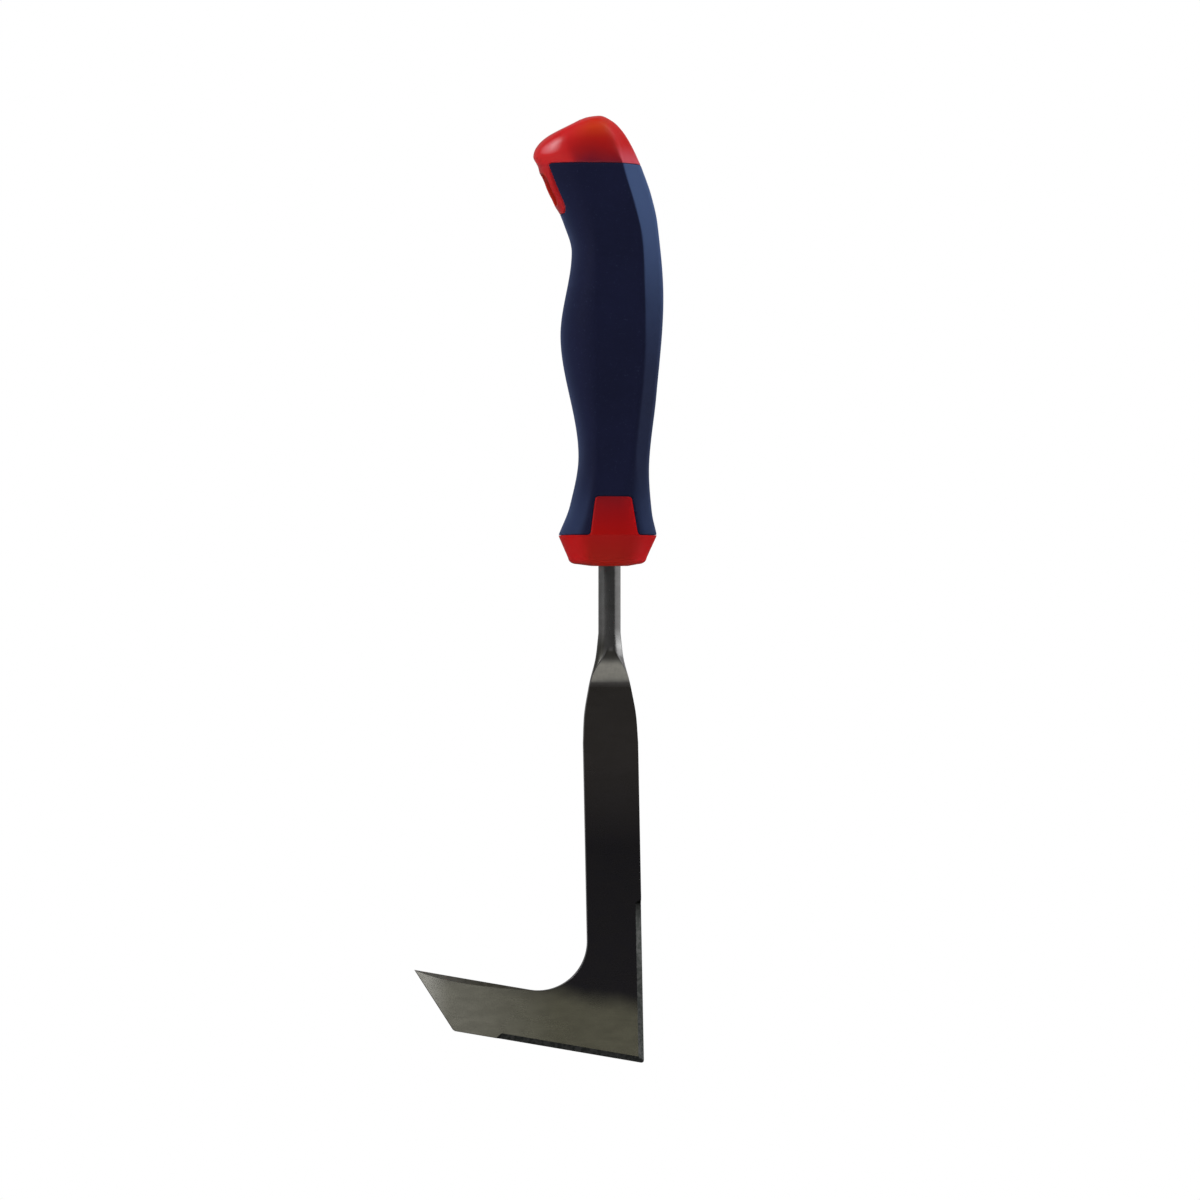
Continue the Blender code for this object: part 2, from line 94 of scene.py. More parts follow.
fingerAt = smoothLine(handleForm["fingerSide"])
palmAt = smoothLine(handleForm["palmSide"])
halfDepthAt = smoothLine(handleForm["halfDepth"])
fingerFlatAt = smoothLine(handleForm["fingerFlat"])
palmFlatAt = smoothLine(handleForm["palmFlat"])
rim, joint = handleForm["rim"], handleForm["joint"]
seam = joint + 0.05            # where the sleeve ends and the cap begins
slotHeight = joint - handleForm["slotDrop"]
slotMiddle = Vector(((palmAt(slotHeight) - fingerAt(slotHeight)) / 2, 0, slotHeight))


def inFrame(point):
    return (Vector(point) - slotMiddle) * mm


def newObject(name, shape):
    # turns a bmesh in millimetres into an object in the frame
    for vert in shape.verts:
        vert.co = inFrame(vert.co)
    bmesh.ops.recalc_face_normals(shape, faces=shape.faces[:])
    mesh = bpy.data.meshes.new(name)
    shape.to_mesh(mesh)
    shape.free()
    made = bpy.data.objects.new(name, mesh)
    bpy.context.scene.collection.objects.link(made)
    return made


def loft(name, rings, tip=None):
    shape = bmesh.new()
    rows = [[shape.verts.new(place) for place in ring] for ring in rings]
    turned = [row[1:] + row[:1] for row in rows]
    for i in range(len(rows) - 1):
        for corners in zip(rows[i], turned[i], turned[i + 1], rows[i + 1]):
            shape.faces.new(corners)
    shape.faces.new(rows[0])
    if tip is None:
        shape.faces.new(rows[-1])
    else:
        last = shape.verts.new(tip)
        for corners in zip(rows[-1], turned[-1]):
            shape.faces.new((*corners, last))
    return newObject(name, shape)


def prism(name, outline, middle, reach, across, rounded=(), corner=0.0):
    # a flat outline pushed out both ways along X or Y, with the listed corners rounded
    def place(u, height, side):
        along = middle + side * reach
        return (along, u, height) if across == "X" else (u, along, height)

    shape = bmesh.new()
    rows = [[shape.verts.new(place(u, height, side)) for u, height in outline] for side in (-1, 1)]
    for row in rows:
        shape.faces.new(row)
    for i in range(len(outline)):
        j = (i + 1) % len(outline)
        shape.faces.new((rows[0][i], rows[0][j], rows[1][j], rows[1][i]))
    edges = [shape.edges.get((rows[0][i], rows[1][i])) for i in rounded]
    if edges:
        bmesh.ops.bevel(shape, geom=edges, offset=corner, segments=10, profile=0.5, affect="EDGES")
    return newObject(name, shape)


def block(name, low, high, wide=60):
    # all that lies between two heights
    return prism(name, [(-wide, low), (wide, low), (wide, high), (-wide, high)], 0, 60, "Y")


def carve(made, *others):
    # cuts the others out of a piece
    for other in others:
        step = made.modifiers.new(other.name, "BOOLEAN")
        step.operation = "DIFFERENCE"
        step.object = other
    settle(made)


def settle(made):
    # applies the modifiers, so that the object is a plain mesh
    graph = bpy.context.evaluated_depsgraph_get()
    mesh = bpy.data.meshes.new_from_object(made.evaluated_get(graph))
    made.modifiers.clear()
    old = made.data
    made.data = mesh
    bpy.data.meshes.remove(old)


def soften(made, voxel, passes):
    # rounds every edge by about one voxel
    remesh = made.modifiers.new("round", "REMESH")
    remesh.mode = "VOXEL"
    remesh.voxel_size = voxel * mm
    smooth = made.modifiers.new("even", "SMOOTH")
    smooth.factor = 0.5
    smooth.iterations = passes
    settle(made)
    made.data.shade_smooth()


def discard(*helpers):
    for helper in helpers:
        mesh = helper.data
        bpy.data.objects.remove(helper)
        bpy.data.meshes.remove(mesh)


def roundCorner(before, corner, after, reach, steps):
    # a corner of an outline turned into a short curve
    first = min(reach, 0.45 * (before - corner).length)
    last = min(reach, 0.45 * (after - corner).length)
    start = corner + (before - corner).normalized() * first
    stop = corner + (after - corner).normalized() * last
    places = []
    for i in range(steps + 1):
        t = i / steps
        places.append(start * (1 - t) ** 2 + corner * 2 * t * (1 - t) + stop * t * t)
    return places


def spread(first, last, steps):
    # the places strictly between two others
    return [first + (last - first) * (i / steps) for i in range(1, steps)]


def handleSection(finger, palm, halfDepth, flatStart, flatEnd, grow=0.0, ease=1.0):
    # one closed section between its finger-side and palm-side places, which lie in the middle plane
    across = (palm - finger).normalized()
    low, high = -grow, (palm - finger).length + grow
    deep = halfDepth + grow
    chamfer = handleForm["chamferDepth"] * min(1, halfDepth / handleForm["chamferFrom"])
    # in a small section the round, the flat and the chamfer each keep a share of the depth
    start = max(flatStart, low + 0.3 * deep)
    end = min(flatEnd + 0.4 * grow, high - 0.2 * chamfer)
    side = max(deep - chamfer - 0.6 * grow, 0.25 * deep)
    steps = handleForm["arcSteps"]
    places = []
    for i in range(steps + 1):
        angle = math.pi * (i / steps - 0.5)
        places.append(Vector((start - (start - low) * math.cos(angle), deep * math.sin(angle))))
    front, edge = Vector((end, deep)), Vector((high, side))
    middle = Vector((high, 0))
    frontArc = roundCorner(places[-1], front, edge, handleForm["frontCorner"] * ease, 8)
    palmArc = roundCorner(front, edge, middle, handleForm["palmCorner"] * ease, 8)
    half = spread(places[-1], frontArc[0], 7) + frontArc + spread(frontArc[-1], palmArc[0], 5) + palmArc
    half += spread(palmArc[-1], Vector((palmArc[-1].x, -palmArc[-1].y)), 6)[:2]
    places += half + [middle] + [Vector((place.x, -place.y)) for place in reversed(half)]
    return [finger + across * place.x + Vector((0, place.y, 0)) for place in places]


collarForm = {
    "turnHeight": 2.6,         # where the cup's sides turn in to its foot
    "turnRise": 2.0,
    "turnIn": 2.8,
    "taper": 3.2,              # how far they lean in from the rim down to there
    "eyeHalf": 6.0,            # half the foot's flat face round the shank
    "top": 24.6,
    "wall": 3.0,
    "floor": 3.2,
    "shankHole": 3.75,
    "voxel": 0.3,
}


def drawnIn(height):
    # how far the collar's sides have come in from the rim at a height
    if height >= rim:
        return 0.0
    form = collarForm
    taper = min((rim - height) / (rim - form["turnHeight"]), 1)
    turn = max(form["turnHeight"] - height, 0) / form["turnRise"]
    return form["taper"] * taper + form["turnIn"] * (1 - math.sqrt(max(1 - turn ** 2, 0)))


def levelSection(height, grow=0.0):
    at = max(height, rim)
    fade = min((at - rim) / (handleForm["easeTop"] - rim), 1)
    ease = between(handleForm["footEase"], 1.0, fade * fade * (3 - 2 * fade))
    draw = drawnIn(height)
    fingerReach = fingerAt(at) - draw
    finger, palm = Vector((-fingerReach, 0, height)), Vector((palmAt(at) - draw, 0, height))
    flatStart = fingerReach - fingerFlatAt(at) + draw / 2
    flatEnd = fingerReach + palmFlatAt(at) - draw / 2
    return handleSection(finger, palm, halfDepthAt(at) - draw, flatStart, flatEnd, grow, ease)


def levels(low, high, step):
    steps = max(1, round((high - low) / step))
    return [between(low, high, i / steps) for i in range(steps + 1)]


def handleBody(name, low, high, grow=0.0, step=None):
    step = step or handleForm["levelStep"]
    marks = [low, rim, high] if low < rim < high else [low, high]
    heights = [low]
    for start, stop in zip(marks, marks[1:]):
        heights += levels(start, stop, step)[1:]
    return loft(name, [levelSection(height, grow) for height in heights])


slotForm = {
    "halfLength": 5.1,
    "mouthHalf": 4.8,          # through the cap
    "mouthCorner": 2.8,
    "wayOutHalf": 2.6,         # through the sleeve on the palm side
    "wayOutCorner": 2.55,
}
tongueForm = {
    "half": 6.6,
    "foot": 115.2,
    "flare": 1.3,              # the small curve where it runs out into the cap
    "lift": 0.85,              # how far it stands out of the sleeve beside the slot
    "swell": 7.4,              # from the slot's middle to where that ends
}
tabForm = {
    "footHalf": 7.9,
    "topHalf": 5.95,
    "top": 22.6,
    "flare": 1.1,              # the small curve where it runs out into the rim
    "corner": 0.9,
    "reach": 26.8,
}


def slotPrism(name, halfWidth, corner):
    low, high = slotHeight - slotForm["halfLength"], slotHeight + slotForm["halfLength"]
    outline = [(-halfWidth, low), (halfWidth, low), (halfWidth, high), (-halfWidth, high)]
    return prism(name, outline, 0, farReach, "X", range(4), corner)


def tonguePrism(name, grow):
    # from the slot's middle to the finger side only
    half = tongueForm["half"] + grow
    edge = Vector((half, joint))
    curve = roundCorner(edge - Vector((0, 4)), edge, edge + Vector((4, 0)), tongueForm["flare"], 6)
    side = [(half, tongueForm["foot"] - grow), *[tuple(place) for place in curve]]
    side.append((curve[-1].x, joint + half))
    outline = side + [(-u, height) for u, height in reversed(side)]
    return prism(name, outline, slotMiddle.x - farReach, farReach, "X", (0, len(outline) - 1), half / 2)


def tabPrism(name, grow):
    # the tab's outline, in front and behind
    foot = Vector((tabForm["footHalf"] + grow, rim))
    top = Vector((tabForm["topHalf"] + grow, tabForm["top"] + grow))
    curve = roundCorner(foot + Vector((4, 0)), foot, top, tabForm["flare"], 6)
    side = [(curve[0].x, rim - past), *[tuple(place) for place in curve], tuple(top)]
    outline = side + [(-u, height) for u, height in reversed(side)]
    rounded = (len(side) - 1, len(side))
    return prism(name, outline, 0, tabForm["reach"], "Y", rounded, tabForm["corner"] + grow)


# The steel: a round shank, a pressed neck and a flat L-shaped blade with ground edges
bladeForm = {
    "shankRadius": 3.65,
    # (height, half width, half depth) up the shank and the tang with its two swaged wings
    "tang": [(0, 3.65, 3.65), (54, 3.65, 3.65), (57.6, 5.6, 2.5), (62.4, 5.6, 2.5), (66, 3.65, 3.65),
             (84, 3.65, 3.65), (88, 1.825, 1.825)],
    "neckTop": -22.0,
    "neckFoot": -58.0,
    # (share of the neck's height, share of its narrowing)
    "neckWidths": [(0.22, 0.08), (0.50, 0.39), (0.79, 0.84)],
    # (height, 2 for an ellipse and more for a box)
    "squareness": [(-58.0, 6.0), (-38.2, 5.8), (-35.7, 4.6), (-34.1, 3.5), (-32.5, 2.8), (-31.0, 2.35),
                   (-29.0, 2.0), (-22.0, 2.0)],
    "slopeTop": -27.6,         # the neck's sloping flat
    "slopeFoot": -38.2,
    "slopeEase": 0.30,         # the thickness over which it runs out into the blade
    "pressEase": 0.25,         # and over which it rounds off at its sides
    "levelStep": 0.4,
    "flat": 1.4,               # half the blade's thickness
    "sideDepth": 3.4,
    "halfWidth": 9.0,
    "stemFoot": -161.5,
    "lean": math.radians(1.13),
    "hookReach": 75.5,
    "hookWidth": 17.35,
    "hookDrop": math.radians(10.2),
    "endSlant": math.radians(57.3),
    "throatRadius": 16.0,
    "heelRadius": 1.2,
    "groundWidth": 1.8,
    "groundSlope": 1.0 / 1.8,
    "stemGround": 54.0,
    "hookGround": 49.5,
    "runOut": 1.6,
    # how a ground edge starts: (share of the run-out, width)
    "groundStart": [(-0.3, 0), (0, 0.15), (0.45, 1.08), (0.8, 1.674), (1, 1.8)],
    "topGround": 1.4,
    # the hook's top edge from its tip to the throat: (share of its length, of that width)
    "topShares": [(0.009, 0), (0.05, 0.2), (0.12, 0.5), (0.22, 0.85), (0.33, 1), (0.45, 1), (0.6, 0.85),
                  (0.8, 0.5), (0.94, 0.15)],
    "band": 0.14,              # from a ground edge to the flat's own inner line
    "edgeRound": 0.12,
    "endInset": 0.35,          # from the lower corner of the hook's end to the sections beside it
    "tipInset": 0.5,           # and from its tip
    "crease": math.radians(24),
}


def leaning(height):
    below = max(bladeForm["neckTop"] - height, 0)
    length = bladeForm["neckTop"] - bladeForm["neckFoot"]
    if below < length:
        return math.tan(bladeForm["lean"]) * below ** 2 / (2 * length)
    return math.tan(bladeForm["lean"]) * (below - length / 2)


def softMin(a, b, width):
    blend = max(width - abs(a - b), 0) / width
    return min(a, b) - blend * blend * width / 4


def softMax(a, b, width):
    return -softMin(-a, -b, width)


def steelSection(height, halfWidth, halfDepth, squareness=2.0, press=9.0, middle=0.0, steps=144):
    # an ellipse that squares up, pressed flat in front and behind
    ring = []
    for i in range(steps):
        angle = 2 * math.pi * (i + 0.5) / steps
        u, v = math.cos(angle), math.sin(angle)
        x = halfWidth * math.copysign(abs(u) ** (2 / squareness), u)
        y = halfDepth * abs(v) ** (2 / squareness)
        pressed = softMin(y, press, bladeForm["pressEase"])
        ring.append(Vector((middle + x, math.copysign(pressed, v), height)))
    return ring


def shankSections():
    form = bladeForm
    top, foot, radius, flat = form["neckTop"], form["neckFoot"], form["shankRadius"], form["flat"]
    wide, side = form["halfWidth"], form["sideDepth"]
    slopeTop, slopeFoot = form["slopeTop"], form["slopeFoot"]
    waist = [(between(foot, top, rise), between(wide, radius, share))
             for rise, share in form["neckWidths"]]
    widthAt = smoothLine([(foot, wide), *waist, (top, radius)])
    depthAt = smoothLine([(foot, side), (slopeFoot, side), (slopeTop, radius), (top, radius)])
    squareAt = smoothLine(form["squareness"])
    rings = []
    for height in levels(foot, top, form["levelStep"]):
        rise = (height - slopeFoot) / (slopeTop - slopeFoot)
        press = flat + softMax(rise * (radius - flat), 0, form["slopeEase"])
        across, deep, square = widthAt(height), depthAt(height), squareAt(height)
        rings.append(steelSection(height, across, deep, square, press, leaning(height)))
    return rings + [steelSection(*section) for section in form["tang"]]


def bladeOutline():
    # (place, way inwards, ground width) round the flat blade, down its palm side first
    form = bladeForm
    fall = math.tan(form["hookDrop"])
    wide, stemFoot = form["halfWidth"], form["stemFoot"]
    heel = Vector((leaning(stemFoot) + wide, stemFoot - wide * fall))

    def hookLine(across, rise):
        return Vector((across, heel.y + (heel.x - across) * fall + rise / math.cos(form["hookDrop"])))

    tip = hookLine(heel.x - form["hookReach"], form["hookWidth"])
    slant = form["endSlant"]
    endLength = form["hookWidth"] / math.sin(slant - form["hookDrop"])
    hookEnd = tip + Vector((math.cos(slant), -math.sin(slant))) * endLength
    top = form["neckFoot"]
    topPalm = Vector((leaning(top) + wide, top))
    topFinger = Vector((leaning(top) - wide, top))
    throat = hookLine(leaning(stemFoot + form["hookWidth"]) - wide, form["hookWidth"])
    full, runOut, inset = form["groundWidth"], form["runOut"], form["endInset"]

    def inwardOf(start, stop):
        along = (stop - start).normalized()
        return Vector((along.y, -along.x))       # the outline runs clockwise, seen from the front

    upInward = inwardOf(heel, topPalm) * -1
    bottomInward = inwardOf(hookEnd, heel) * -1
    stations = []

    def straight(start, stop, inward, shares):
        # shares: (distance along, ground width)
        along = (stop - start).normalized()
        for distance, width in shares:
            stations.append((start + along * distance, inward, width))

    reach = full + form["band"]
    mitre = heel + (upInward + bottomInward) * (reach / (1 + upInward.dot(bottomInward)))
    upMitre = (mitre - heel).dot((topPalm - heel).normalized())
    bottomMitre = (mitre - heel).dot((hookEnd - heel).normalized())
    length = (topPalm - heel).length
    start = length - form["stemGround"]
    starting = [(start + share * runOut, width) for share, width in form["groundStart"]]
    straight(topPalm, heel, upInward, [(0, 0), *starting, (length - upMitre, full)])
    heelCurve = roundCorner(topPalm, heel, hookEnd, form["heelRadius"], 8)
    stations += [(place, None, full) for place in heelCurve]
    length = (hookEnd - heel).length
    closing = reversed(form["groundStart"])
    ending = [(form["hookGround"] - share * runOut, width) for share, width in closing]
    straight(heel, hookEnd, bottomInward, [(bottomMitre, full), *ending, (length - inset, 0)])
    endInward = inwardOf(tip, hookEnd) * -1
    straight(hookEnd, tip, endInward, [(inset, 0), ((tip - hookEnd).length - form["tipInset"], 0)])
    arc = fillet(topFinger, throat, tip, form["throatRadius"], 36)
    run = arc[-1] - tip
    upper = inwardOf(arc[-1], tip) * -1
    stations.append((tip, (endInward + upper).normalized(), 0))
    for share, width in form["topShares"]:
        stations.append((tip + run * share, upper, width * form["topGround"]))
    centre = arc[-1] - upper * form["throatRadius"]
    for place in reversed(arc):
        stations.append((place, (place - centre).normalized(), 0))
    stations.append((topFinger, inwardOf(topFinger, arc[0]) * -1, 0))
    return stations, mitre


def fillet(before, corner, after, radius, steps):
    # the points of an arc that rounds a corner of an outline
    toBefore, toAfter = (before - corner).normalized(), (after - corner).normalized()
    halfAngle = toBefore.angle(toAfter) / 2
    centre = corner + (toBefore + toAfter).normalized() * radius / math.sin(halfAngle)
    start = corner + toBefore * radius / math.tan(halfAngle) - centre
    stop = corner + toAfter * radius / math.tan(halfAngle) - centre
    first = math.atan2(start.y, start.x)
    turn = math.remainder(math.atan2(stop.y, stop.x) - first, 2 * math.pi)
    angles = [first + turn * i / steps for i in range(steps + 1)]
    return [centre + radius * Vector((math.cos(angle), math.sin(angle))) for angle in angles]


def makeBlade():
    form = bladeForm
    flat, edge = form["flat"], form["edgeRound"]
    stations, mitre = bladeOutline()
    shape = bmesh.new()
    rows = []
    seen = {}

    def vert(x, y, z):
        key = (round(x, 4), round(y, 4), round(z, 4))
        if key not in seen:
            seen[key] = shape.verts.new((x, y, z))
        return seen[key]

    for place, inward, width in stations:
        if inward is None:
            inner = mitre
            inward = (mitre - place).normalized()
        else:
            inner = place + inward * (width + form["band"])
        depth = width * form["groundSlope"]
        foot = Vector((place.x, -flat + depth, place.y))
        top = Vector((inner.x, -flat, inner.y))
        near = foot + (top - foot).normalized() * edge
        wall = Vector((place.x, -flat + depth + edge, place.y))
        half = [top, near, wall]
        points = half + [Vector((point.x, -point.y, point.z)) for point in reversed(half)]
        rows.append([vert(*point) for point in points])
    for (first, second), (a, b) in zip(zip(rows, rows[1:]), zip(stations, stations[1:])):
        for k in range(5):
            corners = []
            for corner in (first[k], second[k], second[k + 1], first[k + 1]):
                if corner not in corners:
                    corners.append(corner)
            if len(corners) > 2:
                face = shape.faces.new(corners)
                face.smooth = True
                if k in (0, 4) and a[2] + b[2] > 0.2:
                    face.material_index = 1
    for k in (0, 5):
        loop = []
        for row in rows:
            if row[k] not in loop:
                loop.append(row[k])
        shape.faces.new(loop)
    shape.faces.new([*rows[0], *reversed(rows[-1])])
    neck = [[shape.verts.new(place) for place in ring] for ring in shankSections()]
    turned = [row[1:] + row[:1] for row in neck]
    for i in range(len(neck) - 1):
        for corners in zip(neck[i], turned[i], turned[i + 1], neck[i + 1]):
            shape.faces.new(corners).smooth = True
    shape.faces.new(neck[0])
    shape.faces.new(neck[-1])
    made = newObject("forgedBlade", shape)
    made.data.set_sharp_from_angle(angle=form["crease"])
    # the flats and the ground edges stay flat
    for face in made.data.polygons:
        if face.material_index == 1 or abs(face.normal.y) > 0.9999:
            face.use_smooth = False
    return made


sleeveForm = {"gap": 0.06, "wall": 3.0, "voxel": 0.4}


def makeSleeve():
    # the soft sleeve, open for the collar's tabs and the cap's tongue
    gap = sleeveForm["gap"]
    sleeve = handleBody("softSleeve", rim + gap, seam)
    bore = handleBody("bore", rim - past, joint + past, -sleeveForm["wall"], coarse)
    tabs = tabPrism("tabWindows", gap)
    tongue = tonguePrism("tongueWindow", gap)
    slot = slotPrism("wayOut", slotForm["wayOutHalf"], slotForm["wayOutCorner"])
    carve(sleeve, bore, tabs, tongue, slot)
    discard(bore, tabs, tongue, slot)
    soften(sleeve, sleeveForm["voxel"], 2)
    return sleeve


def makeCollar():
    # a cup at the handle's foot, with a tab up the front and one up the back
    form = collarForm
    eye, turn, step = form["eyeHalf"], form["turnHeight"], handleForm["levelStep"]
    foot = handleSection(Vector((-eye, 0, 0)), Vector((eye, 0, 0)), eye, 0.5 * eye, 1.5 * eye)
    heights = [turn - form["turnRise"] * math.sin(math.pi / 2 * i / 8) for i in range(8, 0, -1)]
    heights += levels(turn, rim, step)[:-1] + levels(rim, form["top"], step)
    collar = loft("footCollar", [foot, *[levelSection(height) for height in heights]])
    over = block("overCollar", rim, 60)
    tabs = tabPrism("tabs", 0.0)
    carve(over, tabs)
    socket = handleBody("socket", form["floor"], form["top"] + past, -form["wall"], coarse)
    hole = form["shankHole"]
    bore = loft("shankBore", [steelSection(height, hole, hole, steps=64) for height in (-past, 30)])
    carve(collar, over, socket, bore)
    discard(over, tabs, socket, bore)
    soften(collar, form["voxel"], 3)
    return collar


capForm = {
    "height": 16.4,
    "nose": 1.3,
    "noseEase": 4,             # how much rounder the corners get with each row of the fan
    "bodyFoot": 100.0,         # what lies below the joint is cut to the tongue, the spigot and the plug
    "spigotInset": 3.15,
    "plugFoot": 106.2,
    "plugInset": 6.6,
    "voxel": 0.25,
    "fanStep": 0.16,
    # finger side's next place, palm side's next place as (across, up), and the share of the depth
    "fan": [
        ((0, 0), (0, 0), 1), ((-1, 0.157), (-0.085, 0.37), 0.99),
        ((-0.75, 0.263), (-0.175, 0.67), 0.95), ((0.19, 0.394), (-0.275, 0.874), 0.85),
        ((2.2, 0.544), (-0.395, 0.985), 0.66), ((4.7, 0.661), (-0.505, 0.961), 0.43),
        ((6.9, 0.743), (-0.585, 0.908), 0.21),
    ],
}


def tongueLift(height):
    # how far the tongue stands out of the sleeve, most beside the slot
    return tongueForm["lift"] * max(1 - ((height - slotHeight) / tongueForm["swell"]) ** 2, 0)


def capSections():
    heights = levels(capForm["bodyFoot"], joint, handleForm["levelStep"])[:-1]
    rings = [levelSection(height, tongueLift(height)) for height in heights]
    rows = capForm["fan"]
    width = fingerAt(joint) + palmAt(joint)
    flatStart = (fingerAt(joint) - fingerFlatAt(joint)) / width
    flatEnd = (fingerAt(joint) + palmFlatAt(joint)) / width
    nose, tall = capForm["nose"], capForm["height"]
    tracks = zip(*[(out * nose, up * tall, along * width, rise * tall, share)
                   for (out, up), (along, rise), share in rows])
    lines = [smoothLine(list(enumerate(track))) for track in tracks]
    for u in levels(0, len(rows) - 1, capForm["fanStep"]):
        fingerOut, fingerUp, palmIn, palmUp, share = [line(u) for line in lines]
        finger = Vector((fingerOut - fingerAt(joint), 0, joint + fingerUp))
        palm = Vector((palmAt(joint) + palmIn, 0, joint + palmUp))
        size = (palm - finger).length
        deep, ease = share * halfDepthAt(joint), 1 + capForm["noseEase"] * u
        rings.append(handleSection(finger, palm, deep, flatStart * size, flatEnd * size, 0.0, ease))
    # the last ring closes on its middle
    final = rings[-1]
    tip = (finger + palm) / 2
    for share in (0.75, 0.5, 0.25):
        rings.append([tip + (place - tip) * share for place in final])
    return rings, tip


def makeCap():
    # the butt with the tongue round the hang slot
    rings, tip = capSections()
    cap = loft("buttCap", rings, tip)
    room = block("underCap", 60, seam, 80)
    tongue = tonguePrism("tongue", 0.0)
    over = joint + past
    spigot = handleBody("spigot", tongueForm["foot"], over, -capForm["spigotInset"], coarse)
    plug = handleBody("plug", capForm["plugFoot"], over, -capForm["plugInset"], coarse)
    carve(room, tongue, spigot, plug)
    slot = slotPrism("hangSlot", slotForm["mouthHalf"], slotForm["mouthCorner"])
    carve(cap, room, slot)
    discard(room, tongue, spigot, plug, slot)
    soften(cap, capForm["voxel"], 6)
    return cap


# Shader maths: a Wire is one output socket, and sums of Wires add their Math nodes
class Wire:
    def __init__(self, tree, socket):
        self.tree, self.socket = tree, socket

    def maths(self, operation, first, second):
        return addNode(self.tree, "ShaderNodeMath", {"operation": operation}, {0: first, 1: second})

    def __add__(self, other):
        return self.maths("ADD", self, other)

    def __radd__(self, other):
        return self.maths("ADD", other, self)

    def __sub__(self, other):
        return self.maths("SUBTRACT", self, other)

    def __rsub__(self, other):
        return self.maths("SUBTRACT", other, self)

    def __mul__(self, other):
        return self.maths("MULTIPLY", self, other)

    def __rmul__(self, other):
        return self.maths("MULTIPLY", other, self)


def addNode(tree, kind, settings=None, values=None, output=0):
    made = tree.nodes.new(kind)
    for key, value in (settings or {}).items():
        if key == "stops":
            ramp = made.color_ramp
            ramp.elements.remove(ramp.elements[1])
            ramp.elements[0].position = value[0][0]
            ramp.elements[0].color = (*value[0][1], 1)
            for place, colour in value[1:]:
                ramp.elements.new(place).color = (*colour, 1)
        else:
            setattr(made, key, value)
    for key, value in (values or {}).items():
        if isinstance(value, Wire):
            tree.links.new(value.socket, made.inputs[key])
        else:
            made.inputs[key].default_value = value
    return Wire(tree, made.outputs[output]) if made.outputs else None


def newMaterial(name):
    made = bpy.data.materials.new(name)
    made.use_nodes = True
    made.node_tree.nodes.clear()
    return made, made.node_tree


def finishMaterial(tree, surface):
    addNode(tree, "ShaderNodeOutputMaterial", {}, {"Surface": surface})


def finishSurface(tree, values):
    finishMaterial(tree, addNode(tree, "ShaderNodeBsdfPrincipled", {}, values))


def places(tree):
    # the point on the piece, in metres in the frame
    return addNode(tree, "ShaderNodeTexCoord", {}, {}, "Object")


def facing(tree):
    # the way the surface faces, in the frame
    return addNode(tree, "ShaderNodeNewGeometry", {}, {}, "Normal")


def stretched(tree, point, scale):
    return addNode(tree, "ShaderNodeVectorMath", {"operation": "MULTIPLY"}, {0: point, 1: scale})


def noise(tree, point, scale, detail=2.0, roughness=0.5):
    return addNode(tree, "ShaderNodeTexNoise", {}, {
        "Vector": point, "Scale": scale, "Detail": detail, "Roughness": roughness,
    }, "Fac")


def ranged(tree, value, low, high, first=0.0, last=1.0, kind="SMOOTHSTEP"):
    return addNode(tree, "ShaderNodeMapRange", {"interpolation_type": kind},
                   {"Value": value, "From Min": low, "From Max": high, "To Min": first, "To Max": last})


def mixColours(tree, share, first, second, blend="MIX"):
    settings = {"data_type": "RGBA", "blend_type": blend}
    return addNode(tree, "ShaderNodeMix", settings, {0: share, 6: first, 7: second}, 2)


def within(tree, value, outer, inner):
    # 1 up to the inner distance from the middle, on both sides, and 0 beyond the outer one
    return ranged(tree, value * value, outer ** 2, inner ** 2)


def graded(tree, value, low, high, stops):
    # colours over the range between two values: (share of the range, colour)
    share = ranged(tree, value, low, high, kind="LINEAR")
    return addNode(tree, "ShaderNodeValToRGB", {"stops": stops}, {0: share})


def bumped(tree, height, distance, strength=1.0):
    values = {"Height": height, "Distance": distance, "Strength": strength}
    return addNode(tree, "ShaderNodeBump", {}, values, "Normal")


def separated(tree, point, axis):
    return addNode(tree, "ShaderNodeSeparateXYZ", {}, {0: point}, axis)


# Heights and reaches in the looks are in metres in the frame
midNoise = (0.35, 0.65)        # nearly all values of a noise lie between these
steelLook = {
    # the colour down the steel, a painted reflection that is darkest on the stem: height, colour
    "down": [(-0.125, (0.24, 0.24, 0.24)), (-0.160, (0.22, 0.215, 0.21)), (-0.163, (0.11, 0.10, 0.092)),
             (-0.185, (0.10, 0.09, 0.085)), (-0.215, (0.035, 0.033, 0.038)),
             (-0.245, (0.035, 0.033, 0.038))],
    "paintedFacetHighlight": (0.66, 0.64, 0.57, 1),        # a painted highlight on the neck's sloping flat
    "facetTop": (-0.1490, -0.1515),
    "facetShadeRise": (-0.1560, -0.1520),
    "facetFoot": (-0.1622, -0.1593),
    "paintedPalmLight": (0.80, 0.80, 0.80, 1),       # a painted highlight on the neck's palm-side flank
    "paintedShade": (0.10, 0.098, 0.088, 1),       # painted shade on its other flank and on the sloping flat's top
    "flankTop": (-0.1430, -0.1500),
    "flankFoot": (-0.1640, -0.1600),
    # painted reflection: the hook lighter, its tip lighter still
    "hook": (0.255, 0.245, 0.175, 1),
    "hookFrom": (-0.2605, -0.2700),
    "tip": (1.0, 0.98, 0.88, 1),
    "tipwards": (-0.014, -0.061),
    "hookBrushing": (70, 300, 2200),       # lines along the hook
    "drawing": (1500, 1500, 30),           # and down the shank
    "drawnFrom": (-0.17, -0.155),
    "line": (0.02, 0.02, 0.018, 1),        # the darkest of these lines, and its share
    "lineShare": 0.06,
    "stain": (0.05, 0.045, 0.035, 1),
    "stainShare": 0.16,
    "roughness": 0.26,
    "neckTop": (-0.149, -0.152),           # the neck is rougher
    "neckFoot": (-0.164, -0.161),
}


